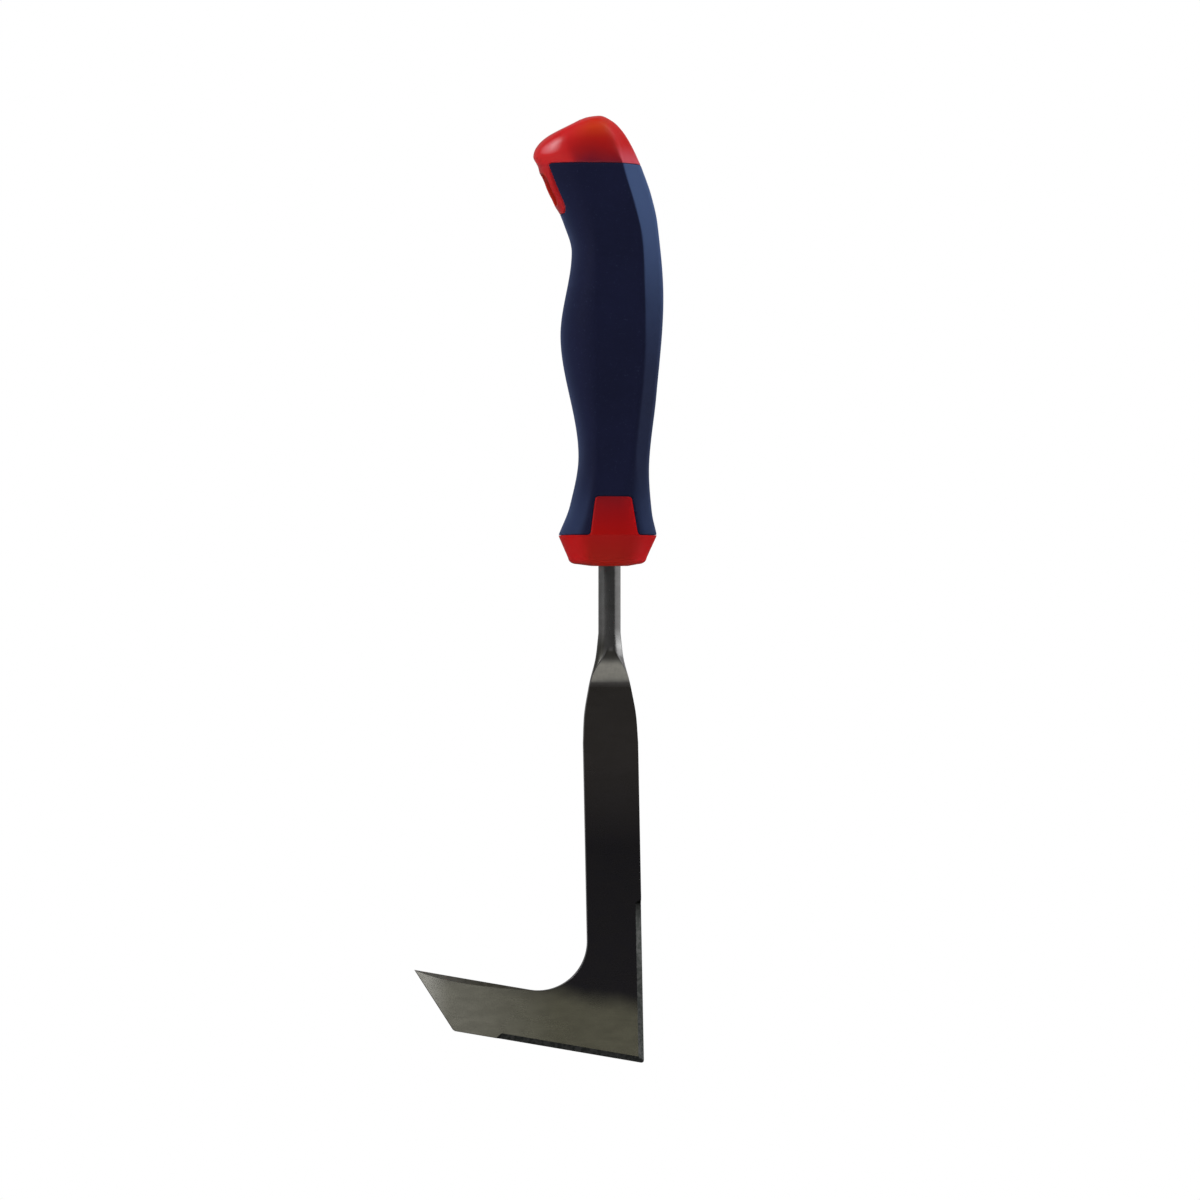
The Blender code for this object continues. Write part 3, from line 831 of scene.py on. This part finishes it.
def steelMaterial():
    look, tree = newMaterial("brushedSteel")
    form = steelLook
    point, normal = places(tree), facing(tree)
    across, height = separated(tree, point, "X"), separated(tree, point, "Z")
    aside, frontal = separated(tree, normal, "X"), separated(tree, normal, "Y")
    frontal = frontal * frontal
    clouds = noise(tree, point, 60.0, 3.0, 0.55)
    hookBrushing = noise(tree, stretched(tree, point, form["hookBrushing"]), 1.0, 3.0, 0.6)
    drawing = noise(tree, stretched(tree, point, form["drawing"]), 1.0, 2.0, 0.5)
    drawn = ranged(tree, height, *form["drawnFrom"])
    brushing = hookBrushing * (1 - drawn) + drawing * drawn
    top, low = form["down"][0][0], form["down"][-1][0]
    stops = [((top - place) / (top - low), shade) for place, shade in form["down"]]
    # painted reflection: the steel darkest on the stem
    colour = graded(tree, height, top, low, stops)
    # the neck's sloping flat, with a painted highlight and painted shade at its top
    ragged = height + 0.002 * (clouds - 0.5)
    paintedFacetHighlight = ranged(tree, height, *form["facetTop"]) * ranged(tree, ragged, *form["facetFoot"])
    paintedFacetHighlight = paintedFacetHighlight * ranged(tree, frontal, 0.93, 0.955) * ranged(tree, frontal, 0.995, 0.98)
    rising = ranged(tree, ragged, *form["facetShadeRise"])
    colour = mixColours(tree, paintedFacetHighlight * (1 - rising) * (0.7 + 0.6 * clouds), colour, form["paintedFacetHighlight"])
    colour = mixColours(tree, paintedFacetHighlight * rising, colour, form["paintedShade"])
    # a painted highlight on the palm-side flank, painted shade on the other
    flank = ranged(tree, height, *form["flankTop"]) * ranged(tree, height, *form["flankFoot"])
    colour = mixColours(tree, flank * ranged(tree, aside, 0.25, 0.50), colour, form["paintedPalmLight"])
    colour = mixColours(tree, flank * ranged(tree, aside, -0.30, -0.60), colour, form["paintedShade"])
    # painted reflection: the hook is lighter from a slanting line down, and again to its tip
    slant = height + 0.16 * across + 0.006 * (clouds - 0.5)
    colour = mixColours(tree, ranged(tree, slant, *form["hookFrom"]), colour, form["hook"])
    outwards = ranged(tree, across, *form["tipwards"], kind="LINEAR")
    outwards = 0.38 * outwards + 0.62 * ranged(tree, outwards, 0.74, 0.93)
    colour = mixColours(tree, outwards, colour, form["tip"])
    # dark brushing lines and stains
    stains = noise(tree, stretched(tree, point, (1, 1, 2.2)), 170.0, 4.0, 0.65)
    line = ranged(tree, brushing, *midNoise, form["lineShare"], 0.0)
    stain = ranged(tree, stains, *midNoise, form["stainShare"], 0.0)
    colour = mixColours(tree, line, colour, form["line"])
    colour = mixColours(tree, stain, colour, form["stain"])
    neck = ranged(tree, height, *form["neckTop"]) * ranged(tree, height, *form["neckFoot"])
    rough = form["roughness"] + 0.14 * neck + 0.04 * (brushing - 0.5) + 0.12 * (clouds - 0.5)
    finishSurface(tree, {
        "Base Color": colour, "Roughness": rough, "Metallic": 1.0,
        "Normal": bumped(tree, brushing, 0.000001, 0.3),
    })
    return look


groundLook = {
    "dark": (0.20, 0.215, 0.205, 1),
    "light": (0.38, 0.39, 0.375, 1),
    "fileMarks": (900, 300, 900),
    "paintedTopReflection": (0.45, 0.43, 0.34, 1),      # a painted reflection on the hook's top edge, and the same at its tip
    "paintedTopReflectionTip": (1.0, 0.98, 0.88, 1),
    "tipwards": (-0.035, -0.058),
    "stemGround": (-0.234, -0.286),
    # painted shade: how much of its colour the stem's ground edge keeps, from its start to the heel
    "stemShares": [(0.0, 0.10), (0.04, 0.25), (0.12, 0.66), (0.30, 0.72), (0.45, 0.46), (0.75, 0.48),
                   (0.90, 0.60), (1.0, 0.9)],
}


def groundMaterial():
    look, tree = newMaterial("groundSteel")
    form = groundLook
    point, normal = places(tree), facing(tree)
    across, height = separated(tree, point, "X"), separated(tree, point, "Z")
    lines = noise(tree, stretched(tree, point, form["fileMarks"]), 1.0, 2.0)
    colour = mixColours(tree, ranged(tree, lines, *midNoise), form["dark"], form["light"])
    # a painted reflection on the edges that face up, lighter to the tip
    tipwards = ranged(tree, across, *form["tipwards"])
    paintedTopReflection = mixColours(tree, tipwards, form["paintedTopReflection"], form["paintedTopReflectionTip"])
    upper = ranged(tree, separated(tree, normal, "Z"), 0.1, 0.4)
    colour = mixColours(tree, upper, colour, paintedTopReflection)
    # painted shade along the stem's palm-side ground edge
    stops = [(place, (share,) * 3) for place, share in form["stemShares"]]
    kept = graded(tree, height, *form["stemGround"], stops)
    palmwards = ranged(tree, separated(tree, normal, "X"), 0.2, 0.4)
    colour = mixColours(tree, palmwards, colour, kept, "MULTIPLY")
    finishSurface(tree, {
        "Base Color": colour, "Roughness": 0.30 + 0.15 * lines, "Metallic": 1.0,
        "Normal": bumped(tree, lines, 0.00002, 0.4),
    })
    return look


capLook = {
    "heights": (-0.008, 0.024),            # from low on the tongue to the peak
    # painted shade just above the joint with the sleeve, and a painted orange reflection towards the
    # top
    "paintedShadingUpwards": [
        (0.0, (0.40, 0.004, 0.008)), (0.44, (0.40, 0.004, 0.006)), (0.52, (0.19, 0.004, 0.016)),
        (0.62, (0.31, 0.003, 0.006)), (0.75, (0.42, 0.006, 0.003)), (0.88, (0.52, 0.030, 0.003)),
        (1.0, (0.50, 0.006, 0.003)),
    ],
    "paintedSlotBounce": (0.42, 0.012, 0.004, 1),     # painted bounce light on the slot's walls, which lie within these halves
    "insideAcross": (0.0051, 0.0048),
    "insideUp": (0.0054, 0.0051),
    "chamfer": (0.56, 0.002, 0.003, 1),    # the palm side, lighter as painted light
    # a painted pink highlight low on the palm side
    "paintedChamferHighlight": (0.62, 0.085, 0.125, 1),
    "chamferFade": (0.0150, 0.0080),
    # painted light on the nose, which faces the upper left
    "nose": (0.53, 0.008, 0.010, 1),
    "noseTurn": (-0.15, -0.75),
    "noseRise": (0.0055, 0.0095),
    "paintedNoseHighlight": (0.72, 0.17, 0.20, 1),         # a painted highlight where the nose faces this way
    "paintedHighlightWay": (-0.62, -0.75, 0.22),
    "paintedHighlightShare": 0.52,
}


def capMaterial():
    look, tree = newMaterial("glossRed")
    form = capLook
    point, normal = places(tree), facing(tree)
    x, y, z = [separated(tree, point, axis) for axis in "XYZ"]
    clouds = noise(tree, point, 90.0, 2.0)
    rise = z + 0.004 * (clouds - 0.5)
    # painted shade and painted reflection up the cap
    colour = graded(tree, rise, *form["heights"], form["paintedShadingUpwards"])
    # painted bounce light on the slot's walls
    paintedSlotBounce = within(tree, y, *form["insideAcross"]) * within(tree, z, *form["insideUp"])
    colour = mixColours(tree, paintedSlotBounce, colour, form["paintedSlotBounce"])
    aside = separated(tree, normal, "X")
    # painted light on the palm side, with a painted pink highlight low on it
    paintedPalmLight = ranged(tree, aside, 0.35, 0.55)
    colour = mixColours(tree, paintedPalmLight, colour, form["chamfer"])
    foot = paintedPalmLight * ranged(tree, rise, *form["chamferFade"]) * 0.9
    colour = mixColours(tree, foot, colour, form["paintedChamferHighlight"])
    # painted light on the nose
    nose = ranged(tree, aside + 40 * x, *form["noseTurn"]) * ranged(tree, rise, *form["noseRise"])
    colour = mixColours(tree, nose, colour, form["nose"])
    # a painted highlight on the nose
    paintedNoseHighlight = addNode(tree, "ShaderNodeVectorMath", {"operation": "DOT_PRODUCT"},
                   {0: normal, 1: form["paintedHighlightWay"]}, "Value")
    paintedNoseHighlight = nose * ranged(tree, paintedNoseHighlight, 0.92, 1.0) * form["paintedHighlightShare"]
    colour = mixColours(tree, paintedNoseHighlight, colour, form["paintedNoseHighlight"])
    peel = noise(tree, point, 900.0, 2.0)
    finishSurface(tree, {
        "Base Color": colour, "Roughness": 0.30 + 0.10 * clouds, "Specular IOR Level": 0.36,
        "Normal": bumped(tree, peel, 0.00001, 0.35),
    })
    return look


collarLook = {
    "heights": (-0.1231, -0.1005),         # from its foot to the tabs' tops
    # painted shade, darker towards the tabs' tops under the sleeve
    "paintedShadingUpwards": [
        (0.0, (0.34, 0.009, 0.003)), (0.40, (0.37, 0.003, 0.002)), (0.60, (0.33, 0.003, 0.004)),
        (1.0, (0.22, 0.005, 0.009)),
    ],
    # painted light: the palm and finger sides lighter than the front
    "palmSide": (0.56, 0.003, 0.006, 1),
    "fingerSide": (0.42, 0.003, 0.004, 1),
}


def collarMaterial():
    look, tree = newMaterial("satinRed")
    form = collarLook
    point = places(tree)
    clouds = noise(tree, point, 120.0, 3.0)
    rise = separated(tree, point, "Z") + 0.003 * (clouds - 0.5)
    # painted shade towards the tabs' tops
    colour = graded(tree, rise, *form["heights"], form["paintedShadingUpwards"])
    # painted light on both sides
    aside = separated(tree, facing(tree), "X")
    colour = mixColours(tree, ranged(tree, aside, 0.0, 0.8), colour, form["palmSide"])
    colour = mixColours(tree, ranged(tree, aside, 0.0, -0.8), colour, form["fingerSide"])
    grain = noise(tree, point, 2600.0, 2.0)
    finishSurface(tree, {
        "Base Color": colour, "Roughness": 0.38 + 0.10 * clouds, "Specular IOR Level": 0.10,
        "Normal": bumped(tree, grain, 0.00002, 0.35),
    })
    return look


sleeveLook = {
    "dark": (0.0055, 0.0065, 0.023, 1),
    "light": (0.008, 0.0095, 0.035, 1),
    "paintedChamferLight": (0.060, 0.100, 0.225, 1),   # painted light on the palm side's chamfers, brightest towards the top
    "chamferLightFrom": (-0.065, 0.0),
    "scuffsAndPaintedLight": (0.030, 0.050, 0.120, 1),   # scuffs and painted light on both sides towards the collar
    "scuffsAndLightFrom": (-0.092, -0.110),
    "dust": (0.04, 0.055, 0.11, 1),
    "sheen": (0.34, 0.50, 1.0, 1),
}


def sleeveMaterial():
    look, tree = newMaterial("softNavy")
    form = sleeveLook
    point = places(tree)
    height = separated(tree, point, "Z")
    aside = separated(tree, facing(tree), "X")
    clouds = noise(tree, point, 55.0, 3.0)
    specks = noise(tree, point, 1500.0, 2.0)
    upper = ranged(tree, height + 0.01 * (clouds - 0.5), *form["chamferLightFrom"])
    lower = ranged(tree, height + 0.014 * (clouds - 0.5), *form["scuffsAndLightFrom"])
    # painted light on the palm-side chamfers
    paintedChamferLight = ranged(tree, aside, 0.3, 0.6) * upper
    # scuffs and painted light on both sides near the collar
    scuffsAndPaintedLight = ranged(tree, aside * aside, 0.05, 0.4) * lower
    colour = mixColours(tree, clouds, form["dark"], form["light"])
    colour = mixColours(tree, paintedChamferLight * 0.8, colour, form["paintedChamferLight"])
    colour = mixColours(tree, scuffsAndPaintedLight * 0.40, colour, form["scuffsAndPaintedLight"])
    colour = mixColours(tree, ranged(tree, specks, 0.62, 0.78) * 0.25, colour, form["dust"])
    grain = noise(tree, point, 3200.0, 2.0)
    finishSurface(tree, {
        "Base Color": colour, "Roughness": 0.58 + 0.10 * clouds + 0.05 * specks,
        "Specular IOR Level": 0.06, "Sheen Weight": 0.25, "Sheen Roughness": 0.45,
        "Sheen Tint": form["sheen"], "Normal": bumped(tree, grain, 0.00003, 0.4),
    })
    return look


coreLook = {"dark": (0.28, 0.010, 0.010, 1), "light": (0.38, 0.014, 0.012, 1)}


def coreMaterial():
    look, tree = newMaterial("hardCore")
    clouds = noise(tree, places(tree), 150.0, 3.0)
    colour = mixColours(tree, clouds, coreLook["dark"], coreLook["light"])
    finishSurface(tree, {
        "Base Color": colour, "Roughness": 0.42 + 0.1 * clouds,
        "Normal": bumped(tree, clouds, 0.00005, 0.3),
    })
    return look


blade = makeBlade()
print("blade made:", len(blade.data.polygons))
sleeve = makeSleeve()
print("sleeve made:", len(sleeve.data.polygons))
collar = makeCollar()
print("collar made:", len(collar.data.polygons))
cap = makeCap()
print("cap made:", len(cap.data.polygons))

steel, ground = steelMaterial(), groundMaterial()
dressed = [
    (blade, "blade", "stainless_steel", [steel, ground]),
    (sleeve, "grip_sleeve", "soft_grip", [sleeveMaterial()]),
    (collar, "collar", "collar_plastic", [collarMaterial()]),
    (cap, "end_cap", "cap_plastic", [capMaterial()]),
]
for piece, node, slotName, looks in dressed:
    for look in looks:
        piece.data.materials.append(look)
    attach(piece, "root")
    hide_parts(node)
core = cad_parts["handle_core"]
core.material_slots[0].material = coreMaterial()
print("pieces dressed")

# The studio: a pale floor, a white surround, soft lamps, and boards that only reflections see
studio = {
    "floorHeight": -0.42,
    "floorRadius": 9.0,
    "floorColour": (0.86, 0.86, 0.85, 1),
    "floorGlow": (0.15, 0.7, 0.55, 1.0),   # two distances, and the share of white at each
    "azimuth": math.radians(-7),
    "distance": 1.7,
    "pixelsPerMm": 3.05,
    "framePixels": 1200,
    "filmWidth": 36,
    "aim": (-3.098, -11.148),              # from the shank at the collar's underside: right, up
    "surround": 0.26,
    "lamps": [
        # name, place, aim, width, height, watts, seen in reflections
        ("upperLeft", (-1.35, -0.75, 0.95), (0, 0, -0.05), 0.9, 1.1, 24, True),
        ("upperRight", (1.35, 0.15, 1.4), (0, 0, -0.05), 1.2, 1.0, 28, False),
        ("overhead", (0, 0.1, 1.7), (0, 0, -0.1), 1.0, 1.0, 4, False),
    ],
    "cards": [
        # name, middle, turn in degrees, width, height, (share of its height, level) from the foot up
        ("frontCard", (-0.35, -1.0, 0.69), (0, 0, 0), 3.3, 2.22,
         [(0.0, 0.36), (0.09, 0.32), (0.13, 0.03), (1.0, 0.02)]),
        ("facetCard", (0.07, -0.54, -0.39), (90, 0, 0), 0.5, 0.30, [(0.0, 0.75), (1.0, 0.75)]),
        ("rightCard", (1.5, 0.15, 0.69), (0, 0, 90), 2.6, 2.22,
         [(0.0, 0.95), (0.17, 0.95), (0.25, 0.05), (1.0, 0.03)]),
        ("leftCard", (-2.0, 0.2, 0.69), (0, 0, 90), 2.6, 2.22,
         [(0.0, 0.40), (0.25, 0.35), (0.4, 0.10), (1.0, 0.05)]),
        ("topCard", (0.0, 0.2, 1.8), (90, 0, 0), 4.0, 2.6, [(0.0, 0.05), (1.0, 0.05)]),
        ("backCard", (0.0, 1.5, 0.69), (0, 0, 0), 4.0, 2.22, [(0.0, 0.30), (1.0, 0.30)]),
        ("lowCard", (0.0, 0.2, -0.40), (90, 0, 0), 4.0, 2.6, [(0.0, 0.05), (1.0, 0.05)]),
    ],
}


def linked(name, data, place):
    made = bpy.data.objects.new(name, data)
    made.location = place
    bpy.context.scene.collection.objects.link(made)
    return made


def backgroundShare(tree):
    rays = tree.nodes.new("ShaderNodeLightPath")
    camera, glossy, through = [Wire(tree, rays.outputs["Is %s Ray" % kind])
                               for kind in ("Camera", "Glossy", "Transmission")]
    return ranged(tree, camera + glossy + through, 0.0, 1.0, kind="LINEAR")


def buildSurround():
    world = bpy.data.worlds.new("surround")
    bpy.context.scene.world = world
    world.use_nodes = True
    tree = world.node_tree
    tree.nodes.clear()
    strength = ranged(tree, backgroundShare(tree), 0.0, 1.0, studio["surround"], 1.0, "LINEAR")
    light = addNode(tree, "ShaderNodeBackground", {}, {"Color": (1, 1, 1, 1), "Strength": strength})
    addNode(tree, "ShaderNodeOutputWorld", {}, {"Surface": light})


def buildFloor():
    shape = bmesh.new()
    bmesh.ops.create_circle(shape, cap_ends=True, segments=96, radius=studio["floorRadius"])
    mesh = bpy.data.meshes.new("floor")
    shape.to_mesh(mesh)
    shape.free()
    floor = linked("floor", mesh, (0, 0, studio["floorHeight"]))
    look, tree = newMaterial("paleFloor")
    distance = addNode(tree, "ShaderNodeVectorMath", {"operation": "LENGTH"},
                       {0: places(tree)}, "Value")
    share = backgroundShare(tree) * ranged(tree, distance, *studio["floorGlow"])
    matt = addNode(tree, "ShaderNodeBsdfDiffuse", {}, {"Color": studio["floorColour"]})
    white = addNode(tree, "ShaderNodeEmission", {}, {"Color": (1, 1, 1, 1), "Strength": 1.0})
    finishMaterial(tree, addNode(tree, "ShaderNodeMixShader", {}, {0: share, 1: matt, 2: white}))
    floor.data.materials.append(look)


def buildCards():
    for name, middle, turn, width, height, stops in studio["cards"]:
        wide, tall = width / 2, height / 2
        mesh = bpy.data.meshes.new(name)
        corners = [(-wide, 0, -tall), (wide, 0, -tall), (wide, 0, tall), (-wide, 0, tall)]
        mesh.from_pydata(corners, [], [(0, 1, 2, 3)])
        board = linked(name, mesh, middle)
        board.rotation_euler = [math.radians(angle) for angle in turn]
        for ray in ("camera", "diffuse", "shadow", "transmission", "volume_scatter"):
            setattr(board, "visible_" + ray, False)
        look, tree = newMaterial(name)
        greys = [(place, (grey,) * 3) for place, grey in stops]
        level = graded(tree, separated(tree, places(tree), "Z"), -tall, tall, greys)
        finishMaterial(tree, addNode(tree, "ShaderNodeEmission", {}, {"Color": level, "Strength": 1.0}))
        board.data.materials.append(look)


def hangLamps():
    for name, place, aim, width, height, watts, mirrored in studio["lamps"]:
        data = bpy.data.lights.new(name, "AREA")
        data.shape = "RECTANGLE"
        data.size, data.size_y = width, height
        data.energy = watts
        lamp = linked(name, data, place)
        lamp.visible_glossy = mirrored
        lamp.rotation_mode = "QUATERNION"
        lamp.rotation_quaternion = (Vector(aim) - Vector(place)).to_track_quat("-Z", "Y")


def setCamera():
    # level with the tool, so far off that the photograph's pixels to a millimetre come out
    angle = studio["azimuth"]
    right = Vector((math.cos(angle), math.sin(angle), 0))
    away = Vector((math.sin(angle), -math.cos(angle), 0))
    aside, up = studio["aim"]
    aim = -slotMiddle * mm + right * aside * mm + Vector((0, 0, up * mm))
    data = bpy.data.cameras.new("camera")
    data.sensor_width = studio["filmWidth"]
    frameWidth = studio["framePixels"] / studio["pixelsPerMm"] * mm
    data.lens = studio["filmWidth"] * studio["distance"] / frameWidth
    data.clip_start, data.clip_end = 0.05, 40
    camera = linked("camera", data, aim + away * studio["distance"])
    camera.rotation_mode = "QUATERNION"
    camera.rotation_quaternion = (-away).to_track_quat("-Z", "Y")
    bpy.context.scene.camera = camera
    bpy.context.scene.view_settings.view_transform = "Standard"


buildSurround()
buildFloor()
buildCards()
hangLamps()
setCamera()
print("studio ready")
